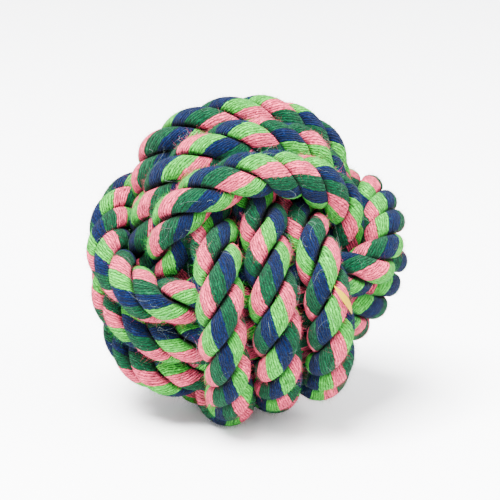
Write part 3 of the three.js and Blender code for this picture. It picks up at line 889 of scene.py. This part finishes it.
def add_seal(name, replaced, inner, outer):
    """A cap on the rope from one length to its end. Its reach is the rope's, times 1 + a share of
    cos(3 * angle) for the strands' lobes. It swells by the root of 1 - t squared, and is rounded off
    to its face by the root of 1 - t to the fourth."""
    t = np.linspace(0, 1, SEAL_ROWS)
    where = (inner + (outer - inner) * t) / rope_length * smooth_count
    middle, side, out = (values[:, None] for values in rope_at(where))
    wide = np.interp(where, samples, half_width)
    tall = np.interp(where, samples, half_below)
    face = np.clip((t - SEAL_FACE_FROM) / (1 - SEAL_FACE_FROM), 0, 1)
    swelling = np.clip((SEAL_ROOT_TO - t) / (2 * SEAL_ROOT_TO), 0, 1)
    closing = np.sqrt(1 - face**4) * np.sqrt(1 - swelling**2)
    a = np.linspace(0, 2 * math.pi, SEAL_SIDES, endpoint=False)
    lay = 2 * math.pi * np.interp(where, samples, lay_turns)
    lobes = 1 + SEAL_LOBE_SHARE * np.cos(3 * (a[None] + lay[:, None]))
    round_x = (wide * closing)[:, None] * np.cos(a)[None] * lobes
    round_y = (tall * closing)[:, None] * np.sin(a)[None] * lobes
    points = middle + round_x[..., None] * side + round_y[..., None] * out
    faces = grid_faces(SEAL_ROWS, SEAL_SIDES, True)
    caps = end_caps(SEAL_ROWS, SEAL_SIDES)
    if outer > inner:
        faces, caps = faces[:, ::-1], [cap[::-1] for cap in caps]
    made = add_mesh(name, points + core_middle, faces, None, caps)
    made.data.materials.append(seal_material)
    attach(made, "root")
    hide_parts(replaced)


add_seal("dipped_start", "rope_end_seal_start", SEAL_LENGTH, 0.0)
add_seal("dipped_finish", "rope_end_seal_finish", rope_length - SEAL_LENGTH, rope_length)


# A flat sliver of smooth yellow thread, pointed at both ends, is caught across the third front
# turn. It is glossier than the cotton, and only the yarns round it hold it.

THREAD_FROM = (0.4463, 102.0)  # place along the rope in metres, and angle round it in degrees
THREAD_TO = (0.4392, 58.0)
THREAD_WIDTH = 0.0018
THREAD_THICKNESS = 0.00035
THREAD_ROWS = 33
THREAD_SIDES = 12
THREAD_SEAT_SHARE = 0.515  # of the rope's diameter, from its middle to the thread's
THREAD_ARCH = 0.0004
THREAD_CUP = 0.00015  # by which the thread's edges stand up
THREAD_TIP_SHARE = 0.04
THREAD_FULLNESS = 0.8
THREAD_STREAKS_PER_METRE = 1500.0
THREAD_STREAK_HEIGHT = 0.00005
THREAD_BUMP = 0.5
THREAD_DARK = (0.23, 0.14, 0.0, 1)
THREAD_LIGHT = (0.32, 0.21, 0.0, 1)
t = np.linspace(0, 1, THREAD_ROWS)
thread_lengths = THREAD_FROM[0] + (THREAD_TO[0] - THREAD_FROM[0]) * t
middle, side, out = rope_at(np.interp(thread_lengths, lengths, samples))
round_it = np.radians(THREAD_FROM[1] + (THREAD_TO[1] - THREAD_FROM[1]) * t)
spoke = np.cos(round_it)[:, None] * side + np.sin(round_it)[:, None] * out
seat = ROPE_DIAMETER * THREAD_SEAT_SHARE + THREAD_ARCH * np.sin(math.pi * t)
line = middle + spoke * seat[:, None]
way = np.gradient(line, axis=0)
way /= np.linalg.norm(way, axis=1)[:, None]
flat = np.cross(way, spoke)
flat /= np.linalg.norm(flat, axis=1)[:, None]
a = np.linspace(0, 2 * math.pi, THREAD_SIDES, endpoint=False)
# The width swells from a blunt tip with a power of the sine of the way along
swell = THREAD_TIP_SHARE + (1 - THREAD_TIP_SHARE) * np.sin(math.pi * t) ** THREAD_FULLNESS
swell = swell[:, None, None]
thread_points = (
    line[:, None]
    + flat[:, None] * np.cos(a)[None, :, None] * swell * THREAD_WIDTH / 2
    + spoke[:, None] * np.sin(a)[None, :, None] * swell * THREAD_THICKNESS / 2
    + spoke[:, None] * (np.cos(a) ** 2)[None, :, None] * swell * THREAD_CUP
)
thread_faces = grid_faces(THREAD_ROWS, THREAD_SIDES, True)
thread_caps = end_caps(THREAD_ROWS, THREAD_SIDES)
made = add_mesh("yellow_sliver", thread_points + core_middle, thread_faces, None, thread_caps)
thread_material, start = new_material("smooth_yellow_thread")
place = start.node("ShaderNodeTexCoord", output=3)
streaks = start.noise(place, THREAD_STREAKS_PER_METRE, 2.0)
thread_colour = streaks.blend(THREAD_DARK, THREAD_LIGHT)
thread_height = streaks * THREAD_STREAK_HEIGHT
finish_material(start, thread_colour, 0.4 + 0.15 * streaks, thread_height, THREAD_BUMP)
made.data.materials.append(thread_material)
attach(made, "root")
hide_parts("yellow_thread")


# The floor is one wide sheet of pale matt paper. It lies flat under the ball and sweeps up far
# behind it, so that it shows no edge.

FLOOR_HALF_WIDTH = 3.0
FLOOR_FRONT = -1.5
FLOOR_BACK = 1.6
SWEEP_RADIUS = 0.8
SWEEP_HEIGHT = 2.0
SWEEP_ROWS = 25
PAPER_ROUGHNESS = 0.8
PAPER_GRAINS_PER_METRE = 900.0
PAPER_GRAIN_HEIGHT = 0.00002
PAPER_BUMP = 0.3
PAPER_DARK = (0.86, 0.86, 0.87, 1)
PAPER_LIGHT = (0.88, 0.88, 0.89, 1)
sweep_angle = np.linspace(0, math.pi / 2, SWEEP_ROWS)
sweep_y = FLOOR_BACK + SWEEP_RADIUS * np.sin(sweep_angle)
sweep_z = SWEEP_RADIUS * (1 - np.cos(sweep_angle))
profile_y = np.concatenate([[FLOOR_FRONT], sweep_y, [FLOOR_BACK + SWEEP_RADIUS]])
profile_z = np.concatenate([[0], sweep_z, [SWEEP_HEIGHT]])
floor_points = np.stack(
    [
        np.array([[-FLOOR_HALF_WIDTH, FLOOR_HALF_WIDTH]]) + 0 * profile_y[:, None],
        profile_y[:, None] + np.zeros((1, 2)),
        profile_z[:, None] + np.zeros((1, 2)),
    ],
    axis=2,
)
floor = add_mesh("floor_sweep", floor_points, grid_faces(len(profile_y), 2, False))
floor_material, start = new_material("pale_paper")
place = start.node("ShaderNodeTexCoord", output=3)
grain = start.noise(place, PAPER_GRAINS_PER_METRE)
floor_colour = grain.blend(PAPER_DARK, PAPER_LIGHT)
finish_material(start, floor_colour, PAPER_ROUGHNESS, grain * PAPER_GRAIN_HEIGHT, PAPER_BUMP)
floor.data.materials.append(floor_material)


# Light comes from a large soft box above the ball and a little to its front left, from a weaker one
# at the right, and from the bright room round it. Both boxes hang free and are turned to the ball.

LIGHT_AIM = (0, 0, 0.03)
BOX_SIZE = 0.8
KEY_PLACE = (-0.3, -0.4, 1.2)
KEY_POWER = 190
FILL_PLACE = (0.9, -0.5, 0.7)
FILL_POWER = 32
ROOM_COLOUR = (0.95, 0.97, 1.0, 1)
ROOM_STRENGTH = 2.3


def soft_box(name, place, power):
    """A square area light at a place, turned towards the ball."""
    lamp = bpy.data.lights.new(name, "AREA")
    lamp.shape = "SQUARE"
    lamp.size = BOX_SIZE
    lamp.energy = power
    made = bpy.data.objects.new(name, lamp)
    made.location = place
    direction = np.array(LIGHT_AIM) - np.array(place)
    pitch = math.atan2(math.hypot(direction[0], direction[1]), -direction[2])
    made.rotation_euler = (pitch, 0, math.atan2(-direction[0], direction[1]))
    bpy.context.scene.collection.objects.link(made)


soft_box("key_light", KEY_PLACE, KEY_POWER)
soft_box("fill_light", FILL_PLACE, FILL_POWER)
world = bpy.data.worlds.new("bright_room")
bpy.context.scene.world = world
world.use_nodes = True
world.node_tree.nodes["Background"].inputs["Color"].default_value = ROOM_COLOUR
world.node_tree.nodes["Background"].inputs["Strength"].default_value = ROOM_STRENGTH


# The camera stands in front of the ball and a little above it, far enough off for a long lens. A
# small shift puts the ball where the photograph has it.

CAMERA_DISTANCE = 0.6
CAMERA_ELEVATION_DEGREES = 15
LENS_MM = 169.9
SENSOR_MM = 36
SHIFT_ACROSS = 0.0058
SHIFT_UP = 0.0210
camera_data = bpy.data.cameras.new("camera")
camera_data.lens = LENS_MM
camera_data.sensor_width = SENSOR_MM
camera_data.shift_x = SHIFT_ACROSS
camera_data.shift_y = SHIFT_UP
camera = bpy.data.objects.new("camera", camera_data)
elevation = math.radians(CAMERA_ELEVATION_DEGREES)
camera.location = (
    core_middle[0],
    core_middle[1] - CAMERA_DISTANCE * math.cos(elevation),
    core_middle[2] + CAMERA_DISTANCE * math.sin(elevation),
)
camera.rotation_euler = (math.pi / 2 - elevation, 0, 0)
bpy.context.scene.collection.objects.link(camera)
bpy.context.scene.camera = camera
